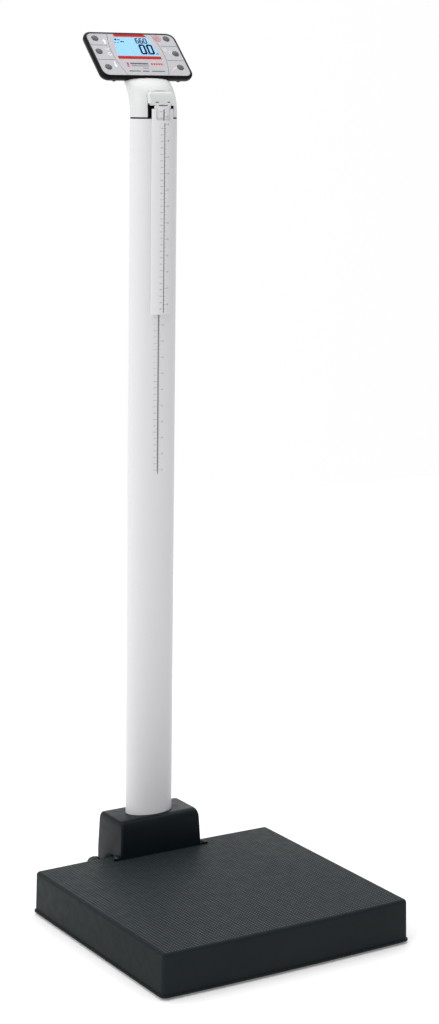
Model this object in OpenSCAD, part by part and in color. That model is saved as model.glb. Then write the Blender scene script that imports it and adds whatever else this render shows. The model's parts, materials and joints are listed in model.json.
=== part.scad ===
// Digital column scale for a medical room: weighing platform, oval column with a
// telescoping height rod and folding headpiece, leaning neck and tilted indicator.
// Millimetres. +Z up, +X to the right of a person reading the display, front is -Y.
// Origin: on the floor, at the middle of the footprint box.

/* [Platform] */
// Width of the platform cover at its foot
platform_w = 428; // [360:1:520]
// Depth of the platform cover between its corners
platform_d = 394; // [340:1:480]
// Height of the platform skirt
skirt_h = 63; // [58:1:90]
// Wall of the moulded platform cover
cover_wall = 3; // [2:0.5:5]
// How far the front and rear edges bow out at their middle
edge_bow = 3; // [0:0.5:8]
// Corner radius of the platform in plan
corner_r = 8; // [5:0.5:20]
// Radius of the rounded top edge
top_edge_r = 5; // [2:0.5:8]
// Gap between floor and skirt, set by the rubber feet
foot_gap = 4; // [2:0.5:10]
// Inset of each foot from the side and front of the platform
foot_inset = 48; // [40:1:80]
// Thickness of the steel deck
deck_t = 3; // [2:0.5:5]
// Diameter of a rubber foot
foot_d = 36; // [24:1:44]

/* [Base cover] */
// Width of the base cover at its foot
boot_w = 147; // [130:1:200]
// Height of the base cover above the platform
boot_h = 58; // [48:1:90]
// Wall of the base cover
boot_wall = 2.5; // [2:0.5:4]
// Overhang of the base cover behind the column axis
boot_rear = 36; // [34:1:50]
// Reach of the base cover in front of the column axis
boot_front = 44; // [40:1:60]
// Radius of a transport wheel
wheel_r = 22; // [20:1:32]
// Width of a transport wheel
wheel_w = 14; // [10:0.5:22]
// Distance of each wheel's middle from the centre plane
wheel_x = 88; // [86:0.5:120]

/* [Column] */
// Distance from the platform's rear corners to the column axis
column_setback = 17; // [14:1:26]
// Half width of the oval column
column_a = 40; // [36:0.5:50]
// Half depth of the oval column
column_b = 25; // [22:0.5:30]
// Wall of the column
column_wall = 2.4; // [1.8:0.1:3.5]
// Height of the column's top edge above the floor
column_top = 1227.5; // [900:1:1400]
// Width of the guide slot in the column's face
slot_w = 1.4; // [1.2:0.1:2]
// Sideways place of the guide slot
slot_x = -2.8; // [-6:0.1:6]
// Height of the guide slot's lower end above the floor
slot_bottom = 672; // [300:1:680]

/* [Height rod] */
// How far the outer rod stands in front of the column
rod_stand = 9; // [9:0.1:12]
// Length of the outer rod
rod_len = 318.5; // [220:1:400]
// How far the outer rod stands above the column's top edge
rod_above = 15.5; // [8:0.5:18]
// Width of the reading notch in the outer rod
notch_w = 27; // [16:0.5:27]
// Depth of the reading notch below the rod's top
notch_h = 17.6; // [8:0.2:40]
// Width of the headpiece
head_w = 44; // [36:1:60]
// Height of the folded headpiece above its hinge
head_h = 19; // [14:1:22]

/* [Indicator] */
// Width of the indicator housing
ind_w = 166; // [160:1:220]
// Height of the indicator housing along its face
ind_h = 100; // [94:1:130]
// Depth of the indicator housing
ind_d = 13; // [13:0.5:30]
// Corner radius of the indicator housing
ind_r = 14; // [8:1:20]
// Tilt of the indicator's face back from upright
ind_tilt = 45; // [30:1:60]
// Setback of the face's centre behind the column axis
face_back = 47.7; // [45:0.1:70]
// Height of the face's centre above the column's top edge
face_up = 99.4; // [95:0.1:130]
// Diameter of a key
key_d = 11.2; // [8:0.2:13]
// Travel of a key
key_travel = 1.2; // [0.6:0.1:1.4]

/* [Hidden] */

// Heights of the platform's layers above the floor
skirt_top = foot_gap + skirt_h;
deck_top = skirt_top - cover_wall;
deck_low = deck_top - deck_t;
skirt_draft = 1.2;
skirt_lip = 2;
lip_h = 2.5;
flange_h = 20;
flange_t = 2.5;
deck_gap = 2.3;
deck_x = platform_w / 2 - skirt_draft - cover_wall - deck_gap;
deck_y = platform_d / 2 - skirt_draft - cover_wall - deck_gap;

// Load cells and feet
foot_x = platform_w / 2 - foot_inset;
foot_y = platform_d / 2 - foot_inset;
foot_h = 8;
stud_d = 8;
cell_l = 82;
cell_w = 24;
cell_h = 14;
cell_out = 12;
spacer_h = 4;
cell_top = deck_low - spacer_h;
cell_low = cell_top - cell_h;
cell_screw_x = [44, 60];
cell_screw_d = 6;
cell_head_h = 5;

// Base pan and its posts
pan_low = foot_gap + 2;
pan_t = 2;
pan_gap = 4;
post_d = 10;
post_x = 62;
post_y = platform_d / 2 - 40;
pan_screw_d = 4;

// Summing board under the middle of the deck
board_w = 90;
board_d = 60;
board_t = 1.6;
board_drop = 10;
board_low = deck_low - board_drop;
lead_d = 3;
lead_clear = 3.7;
lead_z = board_low - 4;

// Places along Y: the footprint box is centred on the origin
back_edge_r = 8;
front_reach = platform_d / 2 + edge_bow + skirt_lip;
face_rear = face_back + ind_h / 2 * sin(ind_tilt) + ind_d * cos(ind_tilt);
rear_reach = platform_d / 2 + column_setback + face_rear - back_edge_r * (sqrt(2) - 1);
plat_y = (front_reach - rear_reach) / 2;
edge_y = plat_y + platform_d / 2;
col_y = edge_y + column_setback;

// Rear bracket, wheels and the cable's way through them
web_y = edge_y + edge_bow + 0.3;
web_t = 2.5;
flange_y = web_y + web_t;
bracket_t = 4;
plate_t = 5;
plate_x = 66;
bolt_d = 6;
bolt_head_h = 5;
bolt_xs = [-52, -18, 18, 52];
bolt_y = col_y - column_b - 6.2;
rear_bolt_x = 40;
rear_bolt_z = deck_low - 14;
socket_wall = 4;
socket_h = 95;
cable_d = 5;
cable_hole_d = 9;
cable_z = deck_low - 13;
wheel_y = flange_y + wheel_r + 3.5;
wheel_z = foot_gap + 10 + wheel_r;
axle_d = 8;
ear_t = 3;
ear_gap = 1.5;

// Base cover
boot_top = skirt_top + boot_h;
boot_end_r = 3;
boot_front_r = 12;
boot_rear_r = 7;
boot_corner_r = 4;
tail_low = deck_low - 28;
lug_t = 3;
lug_reach = 13;
lug_screw_x = boot_w / 2 + 5.5;
lug_screw_y = col_y - boot_front + 6;
boot_gap = 0.6;

// Battery bays, one on each side of the column
cell_r = 7.25;
aa_len = 50.5;
aa_x = column_a + 13.5;
aa_zs = [skirt_top + 26.4, skirt_top + 41.2];
tray_half = 8.8;
tray_wall = 1.2;
door_half = boot_w / 2 - 7.5;
door_low = skirt_top + 17;
door_high = skirt_top + 51.2;
door_t = 4.5;

// Column and its screws
col_low = skirt_top + plate_t;
side_screw_x = 14;
low_screw_z = col_low + 32;
high_screw_z = column_top - 14;
side_screw_d = 5;

// Height rod: three nested sections, each an arc about the column axis
rod_r = column_b + rod_stand;
rod_gap = 0.4;
rod_half = 35.5;
rod_wall = 1.5;
rod_fit = 0.3;
mid_wall = 0.9;
pocket_half = 31.5;
mid_half = 30.9;
mid_pocket_half = 29.3;
inner_half = 28.6;
pocket_in = rod_r - 5.4;
rod_top = column_top + rod_above;
rod_low = rod_top - rod_len;
pocket_low = rod_low + 25;
slider_h = 20;
slider_low = rod_low + 4;
slider_flange_w = 12;
slider_head_w = 14;
slider_head_t = 3;
slider_flange_t = 1.5;
slider_play = 0.3;

// Headpiece hinge, in front of the column
hinge_y = -column_b - 2.5;
hinge_z = rod_top + 7.5;
barrel_r = 2.2;
ear_sweep = 3.9;
pin_r = 1.2;
pin_play = 0.06;
ear_in = 8;
ear_out = 13;

// Neck
gasket_h = 2.5;
neck_low = column_top + gasket_h;
neck_wall = 3;
neck_bend_r = 80;
neck_steps = [0, 6, 14, 22, 30, 38, 46, 54, 62, 70, 78, 86, 94, 102, 108, 112.5];
channel_half = 22.6;
channel_y = -15.6;
channel_h = rod_above + 4;

// Indicator, in its own frame: X across, Y up the face, Z out of the face
face_y = col_y + face_back;
face_z = column_top + face_up;
ind_wall = 2;
ind_split = 5;
rim_w = 4;
overlay_t = 0.6;
overlay_drop = 0.2;
plate_out = overlay_t + overlay_drop;
plate_in = plate_out + 1.6;
window_top = [30, 38];
window_low = [38.5, -2];
board_out = 7.8;
key_play = 0.35;
key_flange = 1;
key_names = ["left_top", "left_middle", "left_bottom", "right_top", "right_middle", "right_bottom"];
key_places = [[-65, 35], [-68.5, 6], [-65, -28], [65, 37], [68.5, 3.5], [65, -27]];
shell_screws = [[-58, -44], [58, -44], [-50, 44], [50, 44]];
neck_screw_places = [[-16, -28], [16, -28], [-16, 4], [16, 4]];
cable_face = [0, -27];

// ---- outlines and solids made by rule ----

function arc(r, a0, a1, n = 14) =
    [for (i = [0:n]) let (a = a0 + (a1 - a0) * i / n) [r * sin(a), -r * cos(a)]];
function oval(a, b, n = 72) = [for (i = [0:n - 1]) let (t = 360 * i / n) [a * sin(t), -b * cos(t)]];
function oval_r(angle, a, b) = 1 / sqrt(pow(sin(angle) / a, 2) + pow(cos(angle) / b, 2));
function lift(points, z) = [for (p = points) [p.x, p.y, z]];
function corner(cx, cy, r, a0, k = 5) =
    [for (i = [0:k]) let (a = a0 + 90 * i / k) [cx + r * cos(a), cy + r * sin(a)]];
function bowed(x, y, half, bow) = [x, y + bow * (1 - pow(x / half, 2))];

// Rounded rectangle, with its front and rear edges bowed out when bow is above zero
function outline(hx, y0, y1, r, bow = 0, m = 10) = concat(
    corner(hx - r, y0 + r, r, -90), corner(hx - r, y1 - r, r, 0),
    bow > 0 ? [for (i = [1:m - 1]) bowed((hx - r) * (1 - 2 * i / m), y1, hx - r, bow)] : [],
    corner(-hx + r, y1 - r, r, 90), corner(-hx + r, y0 + r, r, 180),
    bow > 0 ? [for (i = [1:m - 1]) bowed((hx - r) * (2 * i / m - 1), y0, hx - r, -bow)] : []);

// Closed solid through a stack of rings that all have the same number of points
module loft(rings) {
    n = len(rings[0]);
    last = len(rings) - 1;
    sides = [for (j = [0:last - 1], i = [0:n - 1])
        [j * n + i, (j + 1) * n + i, (j + 1) * n + (i + 1) % n, j * n + (i + 1) % n]];
    bottom = [for (i = [0:n - 1]) i];
    top = [for (i = [n - 1:-1:0]) last * n + i];
    polyhedron([for (ring = rings, p = ring) p], concat([bottom], sides, [top]));
}

// Band between two arcs about the column axis
module band(r0, r1, half) {
    polygon(concat(arc(r1, -half, half), arc(r0, half, -half)));
}

// Round cord whose route lies in the plane X = 0, through points [y, z]
module cord(route, d, sides = 8) {
    last = len(route) - 1;
    function heading(i) = let (a = route[max(i - 1, 0)], b = route[min(i + 1, last)])
        atan2(b[1] - a[1], b[0] - a[0]);
    rings = [for (i = [0:last]) let (h = heading(i)) [for (k = [0:sides - 1])
        let (u = d / 2 * cos(360 * k / sides), v = d / 2 * sin(360 * k / sides))
        [u, route[i][0] - v * sin(h), route[i][1] + v * cos(h)]]];
    mirror([1, 0, 0]) loft(rings);
}

module at_platform() { translate([0, plat_y, 0]) children(); }
module at_column(z = 0) { translate([0, col_y, z]) children(); }
module on_face() { translate([0, face_y, face_z]) rotate([90 - ind_tilt, 0, 0]) children(); }
module box(low, high) { translate(low) cube(high - low); }
module rod_z(x, y, z0, z1, d) { translate([x, y, z0]) cylinder(h = z1 - z0, d = d, $fn = 32); }
module rod_y(x, y0, y1, z, d) {
    translate([x, y0, z]) rotate([-90, 0, 0]) cylinder(h = y1 - y0, d = d, $fn = 32);
}
module rod_x(x0, x1, y, z, d) {
    translate([x0, y, z]) rotate([0, 90, 0]) cylinder(h = x1 - x0, d = d, $fn = 32);
}
module both_sides() { children(); mirror([1, 0, 0]) children(); }

// ---- platform ----

function skirt_ring(inset, z) = lift(outline(platform_w / 2 - inset, -platform_d / 2 + inset,
    platform_d / 2 - inset, max(corner_r - inset, 1), edge_bow), z);
function edge_rings(steps = 5) = [for (i = [0:steps]) let (t = 90 * i / steps)
    skirt_ring(skirt_draft + top_edge_r * (1 - cos(t)), skirt_top - top_edge_r * (1 - sin(t)))];

module platform_holes() {
    for (x = bolt_xs) rod_z(x, bolt_y, deck_low - 30, skirt_top + 1, bolt_d);
    both_sides() {
        rod_z(lug_screw_x, lug_screw_y, deck_low - 1, skirt_top + 1, 4);
        rod_y(rear_bolt_x, edge_y - 20, edge_y + 10, rear_bolt_z, bolt_d);
    }
    rod_y(0, edge_y - 20, edge_y + 10, cable_z, cable_hole_d);
}

module platform_cover() {
    color("#33383b") difference() {
        at_platform() difference() {
            loft(concat([skirt_ring(-skirt_lip, foot_gap), skirt_ring(-skirt_lip, foot_gap + lip_h),
                skirt_ring(0.2, foot_gap + lip_h + 0.8)], edge_rings()));
            loft([skirt_ring(cover_wall, foot_gap - 1), skirt_ring(cover_wall + skirt_draft, deck_top)]);
        }
        platform_holes();
    }
}

module platform_frame() {
    color("#8b9094") difference() {
        union() {
            at_platform() difference() {
                translate([0, 0, deck_low - flange_h]) linear_extrude(flange_h + deck_t)
                    polygon(outline(deck_x, -deck_y, deck_y, 6));
                translate([0, 0, deck_low - flange_h - 1]) linear_extrude(flange_h + 1)
                    polygon(outline(deck_x - flange_t, -deck_y + flange_t, deck_y - flange_t, 4));
            }
            at_platform() both_sides() {
                box([64, -deck_y + 1, deck_low - 8], [80, deck_y - 1, deck_low + 1]);
                for (y = [-post_y, post_y]) rod_z(post_x, y, pan_low + pan_t, deck_low + 1, post_d);
                for (y = [-1, 1])
                    rod_z(board_w / 2 - 5, y * (board_d / 2 - 5), board_low + board_t, deck_low + 1, 6);
            }
        }
        platform_holes();
        at_platform() both_sides() for (y = [-1, 1]) {
            rod_z(post_x, y * post_y, pan_low, pan_low + 16, pan_screw_d);
            for (x = cell_screw_x) rod_z(foot_x - x, y * foot_y, deck_low - 10, deck_top - 1, cell_screw_d);
        }
    }
}

// Bending-beam load cell: its outer end sits on the foot, its inner end hangs from the deck
module load_cell(sx, sy) {
    color("#c3c7ca") at_platform() translate([sx * foot_x, sy * foot_y, 0]) mirror([sx > 0 ? 1 : 0, 0, 0])
        difference() {
            union() {
                box([-cell_out, -cell_w / 2, cell_low], [cell_l - cell_out, cell_w / 2, cell_top]);
                box([34, -cell_w / 2, cell_top], [cell_l - cell_out, cell_w / 2, deck_low]);
            }
            for (x = [16, 26]) rod_y(x, -cell_w, cell_w, (cell_low + cell_top) / 2, 9);
            rod_z(0, 0, cell_low - 1, cell_top + 1, stud_d);
            for (x = cell_screw_x) rod_z(x, 0, cell_low - 1, deck_low + 1, cell_screw_d);
        }
}

module foot(sx, sy) {
    color("#1d1f21") at_platform() translate([sx * foot_x, sy * foot_y, 0])
        rotate_extrude($fn = 48) difference() {
        polygon([[0, 0], [foot_d / 2 - 1.5, 0], [foot_d / 2, 1.5], [foot_d / 2, foot_h - 2],
            [foot_d / 2 - 3, foot_h], [0, foot_h]]);
        translate([-1, 3]) square([1 + stud_d / 2, foot_h]);
    }
}

module foot_studs() {
    color("#b9bcbf") at_platform() both_sides() for (y = [-1, 1]) translate([foot_x, y * foot_y, 0]) {
        rod_z(0, 0, 3, cell_top + 3, stud_d);
        rod_z(0, 0, foot_h, foot_h + 5, 16);
    }
}

module cell_screws() {
    color("#9da1a4") at_platform() both_sides() for (y = [-1, 1], x = cell_screw_x)
        translate([foot_x - x, y * foot_y, 0]) {
            rod_z(0, 0, cell_low - cell_head_h, cell_low, 10);
            rod_z(0, 0, cell_low - 1, deck_top - 1, cell_screw_d);
        }
}

module base_pan() {
    color("#6f7477") at_platform() difference() {
        translate([0, 0, pan_low]) linear_extrude(pan_t)
            polygon(outline(deck_x - pan_gap, -deck_y + pan_gap, deck_y - pan_gap, 6));
        both_sides() for (y = [-1, 1]) {
            rod_z(foot_x, y * foot_y, pan_low - 1, pan_low + pan_t + 1, foot_d + 8);
            rod_z(post_x, y * post_y, pan_low - 1, pan_low + pan_t + 1, pan_screw_d);
        }
    }
}

module pan_screws() {
    color("#9da1a4") at_platform() both_sides() for (y = [-post_y, post_y]) {
        rod_z(post_x, y, foot_gap + 0.2, pan_low, 8);
        rod_z(post_x, y, pan_low - 1, pan_low + 14, pan_screw_d);
    }
}

// Junction board that sums the four load cells, with a plug and a trimmer for each
module summing_board() {
    color("#2c6e49") at_platform() union() {
        box([-board_w / 2, -board_d / 2, board_low], [board_w / 2, board_d / 2, board_low + board_t]);
        both_sides() for (y = [-1, 1]) translate([0, y * 20, 0]) {
            box([28, -4, board_low - 7], [40, 4, board_low + 0.5]);
            box([14, -3.5, board_low - 5], [22, 3.5, board_low + 0.5]);
        }
        box([-7, 18, board_low - 7], [7, 28, board_low + 0.5]);
    }
}

module cell_leads() {
    color("#3a3d40") at_platform() both_sides() for (s = [-1, 1]) {
        start = [foot_x - cell_l + cell_out, s * foot_y];
        stop = [40.4, s * 20];
        run = norm(stop - start);
        turn = atan2(stop.y - start.y, stop.x - start.x) - 90;
        cell_mid = (cell_low + cell_top) / 2;
        route = [[lead_clear, cell_mid], [9, cell_mid], [20, cell_mid - 2], [34, lead_z - 3],
            [run * 0.5, lead_z - 3], [run - 22, lead_z - 2], [run - 10, lead_z],
            [run - lead_clear, lead_z]];
        translate(start) rotate(turn) cord(route, lead_d);
    }
}

// ---- rear bracket, wheels ----

module column_bracket() {
    color("#2b2e31") difference() {
        union() {
            box([-plate_x, bolt_y - 8, skirt_top], [plate_x, col_y + boot_rear - 8, skirt_top + plate_t]);
            box([-60, flange_y, deck_low - 38], [60, flange_y + bracket_t, skirt_top + 0.5]);
            both_sides() translate([50, 0, 0]) rotate([90, 0, 90]) linear_extrude(4) polygon([
                [flange_y + 1, skirt_top + 0.5], [col_y + boot_rear - 12, skirt_top + 0.5],
                [flange_y + bracket_t + 4, deck_low - 34], [flange_y + 1, deck_low - 34]]);
            at_column(skirt_top + 1) linear_extrude(socket_h)
                polygon(oval(column_a - column_wall, column_b - column_wall));
        }
        at_column(skirt_top + plate_t) linear_extrude(socket_h) polygon(
            oval(column_a - column_wall - socket_wall, column_b - column_wall - socket_wall));
        rod_z(0, cable_route[5][0], skirt_top - 5, skirt_top + plate_t + 1, cable_hole_d);
        rod_y(0, flange_y - 1, flange_y + bracket_t + 1, cable_z, cable_hole_d);
        for (x = bolt_xs) rod_z(x, bolt_y, skirt_top - 1, skirt_top + plate_t + 1, bolt_d);
        both_sides() rod_y(rear_bolt_x, flange_y - 1, flange_y + bracket_t + 1, rear_bolt_z, bolt_d);
        side_screw_holes(low_screw_z, column_b, column_b);
    }
}

module bracket_bolts() {
    color("#a7abae") union() {
        for (x = bolt_xs) {
            rod_z(x, bolt_y, deck_low - 9, skirt_top + plate_t + 1, bolt_d);
            rod_z(x, bolt_y, skirt_top + plate_t, skirt_top + plate_t + bolt_head_h, 10);
            translate([x, bolt_y, deck_low - 5]) cylinder(h = 5, d = 11, $fn = 6);
        }
        both_sides() {
            inner_y = plat_y + deck_y - flange_t;
            rod_y(rear_bolt_x, inner_y - 8, flange_y + bracket_t + 1, rear_bolt_z, bolt_d);
            rod_y(rear_bolt_x, flange_y + bracket_t, flange_y + bracket_t + bolt_head_h, rear_bolt_z, 10);
            translate([rear_bolt_x, inner_y - 5, rear_bolt_z]) rotate([-90, 0, 0])
                cylinder(h = 5, d = 11, $fn = 6);
        }
    }
}

module wheel_bracket() {
    reach = wheel_w / 2 + ear_gap + ear_t;
    color("#2b2e31") difference() {
        both_sides() {
            box([-1, web_y, wheel_z - 18], [wheel_x + reach, web_y + web_t, wheel_z + 18]);
            for (x = [wheel_x - reach, wheel_x + reach - ear_t]) {
                box([x, web_y, wheel_z - 9], [x + ear_t, wheel_y, wheel_z + 9]);
                rod_x(x, x + ear_t, wheel_y, wheel_z, 18);
            }
        }
        both_sides() {
            rod_y(rear_bolt_x, web_y - 1, web_y + web_t + 1, rear_bolt_z, bolt_d);
            rod_x(wheel_x - reach - 1, wheel_x + reach + 1, wheel_y, wheel_z, axle_d);
        }
        rod_y(0, web_y - 1, web_y + web_t + 1, cable_z, cable_hole_d);
    }
}

module wheel(sx) {
    half = wheel_w / 2;
    color("#232527") translate([sx * wheel_x, wheel_y, wheel_z]) rotate([0, 90, 0]) rotate_extrude($fn = 64)
        polygon([[axle_d / 2 + 0.05, -half], [axle_d / 2 + 5, -half], [axle_d / 2 + 6, -half + 4],
            [wheel_r - 9, -half + 4], [wheel_r - 8, -half], [wheel_r - 3, -half], [wheel_r - 0.8, -half + 2],
            [wheel_r, 0], [wheel_r - 0.8, half - 2], [wheel_r - 3, half], [wheel_r - 8, half],
            [wheel_r - 9, half - 4], [axle_d / 2 + 6, half - 4], [axle_d / 2 + 5, half],
            [axle_d / 2 + 0.05, half]]);
}

module wheel_axles() {
    reach = wheel_w / 2 + ear_gap + ear_t;
    color("#b9bcbf") both_sides() {
        rod_x(wheel_x - reach, wheel_x + reach + 1, wheel_y, wheel_z, axle_d);
        rod_x(wheel_x + reach, wheel_x + reach + 3, wheel_y, wheel_z, 13);
    }
}

// ---- base cover and batteries ----

function boot_ring(z, inset, front_in, end_in, rear_in) = lift(outline(
    boot_w / 2 - 2.5 * (z - skirt_top) / boot_h - inset - end_in,
    -boot_front + 4 * (z - skirt_top) / boot_h + inset + front_in,
    boot_rear - 1.5 * (z - skirt_top) / boot_h - inset - rear_in, boot_corner_r - inset / 2), z);
function boot_rings(inset, low, steps = 6) = let (top = boot_top - inset) concat(
    [boot_ring(low, inset, 0, 0, 0)],
    [for (i = [0:steps]) let (t = 90 * i / steps, k = 1 - cos(t))
        boot_ring(top - boot_front_r * (1 - sin(t)), inset,
            boot_front_r * k, boot_end_r * k, boot_rear_r * k)]);

// The cover's tail hangs behind the platform, open at its front
function tail_ring(z, inset, front) = lift(outline(boot_w / 2 - inset, front, boot_rear - inset,
    max(boot_corner_r - inset, 0.5)), z);

module base_cover() {
    tail_front = flange_y + 0.8 - col_y;
    color("#202325") difference() {
        union() {
            at_column() difference() {
                union() {
                    loft(boot_rings(0, skirt_top));
                    loft([tail_ring(tail_low, 0, tail_front), tail_ring(skirt_top + 0.5, 0, tail_front)]);
                }
                loft(boot_rings(boot_wall, skirt_top - 0.4));
                loft([tail_ring(tail_low - 1, boot_wall, tail_front - 5),
                    tail_ring(skirt_top, boot_wall, tail_front - 5)]);
            }
            both_sides() translate([0, col_y - boot_front, skirt_top]) linear_extrude(lug_t) polygon([
                [boot_w / 2 - 2, 0.5], [boot_w / 2 + lug_reach - 1, 0.5], [boot_w / 2 + lug_reach, 2],
                [boot_w / 2 + lug_reach - 1, 5], [boot_w / 2 - 2, 19]]);
        }
        at_column(boot_top - 20) linear_extrude(30) polygon(oval(column_a + boot_gap, column_b + boot_gap));
        both_sides() rod_z(lug_screw_x, lug_screw_y, skirt_top - 1, skirt_top + 4, 4);
        box([-door_half - 0.3, col_y + boot_rear - 12, door_low - 0.3],
            [door_half + 0.3, col_y + boot_rear + 3, door_high + 0.3]);
    }
}

module cover_screws() {
    color("#9da1a4") both_sides() {
        rod_z(lug_screw_x, lug_screw_y, deck_low - 1, skirt_top + lug_t + 0.5, 4);
        translate([lug_screw_x, lug_screw_y, skirt_top + lug_t]) cylinder(h = 2, d1 = 7.6, d2 = 5, $fn = 32);
    }
}

module battery_holders() {
    color("#17191b") both_sides() at_column() difference() {
        box([aa_x - tray_half, -aa_len / 2 - 5, door_low + 0.5],
            [aa_x + tray_half, aa_len / 2 + 3, door_high - 1]);
        box([aa_x - tray_half + tray_wall, -aa_len / 2 - 5 + tray_wall, door_low + 0.5 + tray_wall],
            [aa_x + tray_half - tray_wall, aa_len / 2 + 4, door_high - 1 - tray_wall]);
    }
}

module batteries() {
    color("#4d6f8c") both_sides() at_column() for (z = aa_zs) {
        rod_y(aa_x, -aa_len / 2, aa_len / 2 - 1.5, z, 2 * cell_r);
        rod_y(aa_x, aa_len / 2 - 2, aa_len / 2, z, 5.2);
    }
}

module battery_contacts() {
    color("#d0b36a") both_sides() at_column() for (z = aa_zs) {
        box([aa_x - 5, -aa_len / 2 - 5 + tray_wall, z - 5], [aa_x + 5, -aa_len / 2 - 3, z + 5]);
        rod_y(aa_x, -aa_len / 2 - 3.5, -aa_len / 2, z, 6);
    }
}

module battery_door() {
    color("#202325") difference() {
        box([-door_half, col_y + boot_rear - 1.5 - boot_wall, door_low],
            [door_half, col_y + boot_rear - 1.5 - boot_wall + door_t + 2, door_high]);
        both_sides() box([-1, col_y + boot_rear - 10, door_low + 3],
            [door_half - 3, col_y + boot_rear + door_t - 3.5, door_high - 3]);
        for (i = [0:3]) box([-12, col_y + boot_rear + door_t - 3.2, door_high - 8 - 3 * i],
            [12, col_y + boot_rear + door_t, door_high - 6.8 - 3 * i]);
    }
}

// ---- column ----

module side_screw_holes(z, front, rear) {
    for (x = [-side_screw_x, side_screw_x]) {
        rod_y(x, col_y - front, col_y - column_b + 14, z, side_screw_d);
        rod_y(x, col_y + column_b - 14, col_y + rear, z, side_screw_d);
    }
}

module column() {
    color("#eceef0") difference() {
        at_column(col_low) linear_extrude(column_top - col_low) difference() {
            polygon(oval(column_a, column_b));
            polygon(oval(column_a - column_wall, column_b - column_wall));
        }
        box([slot_x - slot_w / 2, col_y - column_b - 1, slot_bottom],
            [slot_x + slot_w / 2, col_y - column_b + column_wall + 1.5, column_top + 1]);
        side_screw_holes(low_screw_z, column_b + 1, column_b + 1);
        for (x = [-side_screw_x, side_screw_x])
            rod_y(x, col_y + column_b - 12, col_y + column_b + 1, high_screw_z, side_screw_d);
    }
}

module side_screw(x, z, s) {
    out = column_b * sqrt(1 - pow((side_screw_x - 4) / column_a, 2));
    translate([x, col_y, z]) rotate([0, 0, s > 0 ? 0 : 180]) {
        rod_y(0, column_b - 10, out + 0.5, 0, side_screw_d);
        translate([0, out, 0]) rotate([-90, 0, 0]) cylinder(h = 2.4, d1 = 8, d2 = 6, $fn = 32);
    }
}

module column_screws() {
    color("#a7abae") union() {
        for (x = [-side_screw_x, side_screw_x], s = [-1, 1]) side_screw(x, low_screw_z, s);
        for (x = [-side_screw_x, side_screw_x]) side_screw(x, high_screw_z, 1);
    }
}

// ---- neck ----

function lean(h) = let (h45 = neck_bend_r * sin(45)) h < 0 ? 0 : h <= h45
    ? neck_bend_r - sqrt(pow(neck_bend_r, 2) - h * h)
    : neck_bend_r * (1 - cos(45)) + h - h45;
function neck_front(h) = min(-column_b + 35 * pow(max(h, 0) / 59, 4), lean(h) - 4);
function neck_back(h) = lean(h) + lookup(h, [[0, 1], [53, 0.8], [90, 0.56], [112.5, 0.2]]) * column_b;
function neck_half(h) = lookup(h, [[0, 1], [56, 0.99], [86, 0.96], [102, 0.88], [112.5, 0.6]]) * column_a;
function neck_ring(h, inset, front_limit = -1000, n = 48) = let (mid = lean(h), half = neck_half(h) - inset,
    front = mid - max(neck_front(h) + inset, front_limit), back = neck_back(h) - inset - mid)
    [for (i = [0:n - 1]) let (t = 360 * i / n)
        [half * sin(t), mid - (cos(t) > 0 ? front : back) * cos(t), neck_low + h]];

// Outside of the indicator's back, with its rounded rear edge, grown all round by a margin
function shell_ring(k, z, grow) = face_ring(ind_w / 2 - back_edge_r * k + grow,
    ind_h / 2 - back_edge_r * k + grow, ind_r - back_edge_r * k + grow, z);
function shell_rings(grow, steps = 4) = concat([for (i = [steps:-1:1]) let (t = 90 * i / steps)
    shell_ring(1 - cos(t), -ind_d + back_edge_r * (1 - sin(t)) - grow, grow)]);

module housing_room(grow) {
    on_face() loft(concat(shell_rings(grow), [shell_ring(0, -ind_split, grow), shell_ring(0, 60, grow)]));
}

module neck() {
    inner_low = channel_y + neck_wall;
    color("#e9ebed") difference() {
        union() {
            difference() {
                at_column() loft([for (h = neck_steps) neck_ring(h, 0)]);
                difference() {
                    at_column() loft([for (h = concat([-1], [for (h = neck_steps) if (h > 0 && h < 110) h]))
                        neck_ring(h, neck_wall, inner_low)]);
                    housing_room(3.5);
                }
            }
            at_column(column_top - 24) linear_extrude(30 + gasket_h) difference() {
                polygon(oval(column_a - column_wall - 0.2, column_b - column_wall - 0.2));
                polygon(oval(column_a - column_wall - 2.7, column_b - column_wall - 2.7));
            }
        }
        housing_room(0.1);
        at_column() box([-channel_half, -column_b - 5, neck_low - 0.01],
            [channel_half, channel_y, neck_low + 90]);
        at_column() box([-12, -column_b - 1, column_top - 30], [12, -10, neck_low]);
        for (x = [-side_screw_x, side_screw_x])
            rod_y(x, col_y + column_b - 12, col_y + column_b + 1, high_screw_z, side_screw_d);
        on_face() {
            for (p = neck_screw_places) rod_z(p.x, p.y, -ind_d - 12, -ind_d + 1, 4);
            rod_z(cable_face.x, cable_face.y, -ind_d - 12, -ind_d + 1, cable_hole_d);
        }
    }
}

module neck_gasket() {
    color("#16181a") at_column(column_top) linear_extrude(gasket_h) difference() {
        polygon(oval(column_a - 0.7, column_b - 0.7));
        polygon(oval(column_a - column_wall - 0.2, column_b - column_wall - 0.2));
        translate([-12.5, -column_b - 1]) square([25, 8]);
    }
    // Dark liner behind and beside the rod, in the neck's channel
    color("#16181a") at_column() difference() {
        box([-channel_half + 0.1, -column_b + 2.5, neck_low],
            [channel_half - 0.1, channel_y - 0.1, neck_low + channel_h]);
        box([-channel_half + 0.7, -column_b, neck_low - 1],
            [channel_half - 0.7, channel_y - 0.6, neck_low + channel_h + 1]);
    }
}

module neck_screws() {
    color("#a7abae") on_face() for (p = neck_screw_places) {
        rod_z(p.x, p.y, -ind_d - 9, -ind_d + ind_wall + 0.5, 4);
        translate([p.x, p.y, -ind_d + ind_wall]) cylinder(h = 1.4, d = 8, $fn = 32);
    }
}

// ---- indicator ----

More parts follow.
